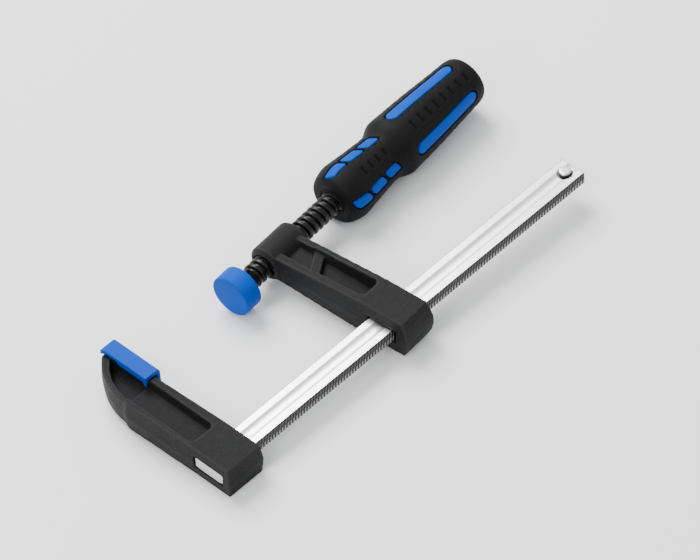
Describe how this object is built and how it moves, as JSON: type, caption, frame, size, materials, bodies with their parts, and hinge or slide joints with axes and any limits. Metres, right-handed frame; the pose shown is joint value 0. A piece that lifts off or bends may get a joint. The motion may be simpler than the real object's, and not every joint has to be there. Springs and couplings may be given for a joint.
{
  "type": "f clamp",
  "caption": "Small F clamp: toothed flat bar, cast fixed jaw with plastic cap, sliding cast arm, screw spindle, swivel pad and two-part grip handle.",
  "frame": {"origin": "on the fixed jaw's clamping face, where the spindle's line meets it when the arm is square to the bar, 1.5 mm from the middle of the face", "axes": "+X along the bar from the fixed jaw to its free end, +Y from the bar towards the spindle, +Z square to the plane of the clamp"},
  "size_m": [0.2074, 0.0868, 0.0252],
  "materials": {
    "plated_steel": "bright plated flat steel, slightly brushed",
    "cast_paint": "black paint over a fine sand-cast surface",
    "black_steel": "glossy blacked screw thread",
    "blue_plastic": "smooth satin moulding",
    "grip_rubber": "soft matte overmoulding"
  },
  "bodies": {
    "frame": {"bar": "plated_steel", "stop_pin": "plated_steel", "fixed_jaw": "cast_paint", "jaw_cap": "blue_plastic"},
    "arm": {"sliding_arm": "cast_paint"},
    "tip": {"ball_tip": "plated_steel"},
    "screw": {"spindle": "black_steel", "handle_core": "blue_plastic", "handle_grip": "grip_rubber"},
    "pad": {"pad_shoe": "plated_steel", "pad_cap": "blue_plastic"}
  },
  "joints": [
    {"name": "arm_slide", "type": "slide", "parent": "frame", "child": "arm", "axis": [1, 0, 0], "range_m": [-0.0222, 0.0812]},
    {"name": "spindle_feed", "type": "slide", "parent": "arm", "child": "tip", "axis": [-0.9972, -0.075, 0], "range_m": [-0.0081, 0.0211]},
    {"name": "spindle_spin", "type": "hinge", "parent": "tip", "child": "screw", "pos_m": [0.07481, -0.00016, 0], "axis": [-0.9972, -0.075, 0], "range_deg": [-960, 2520]},
    {"name": "pad_swivel", "type": "hinge", "parent": "tip", "child": "pad", "pos_m": [0.05302, -0.00179, 0], "axis": [0, 0, 1], "range_deg": [-12, 12]}
  ],
  "couplings": [
    {"joint": "spindle_feed", "follows": "spindle_spin", "m_per_rad": 0.00047746}
  ]
}
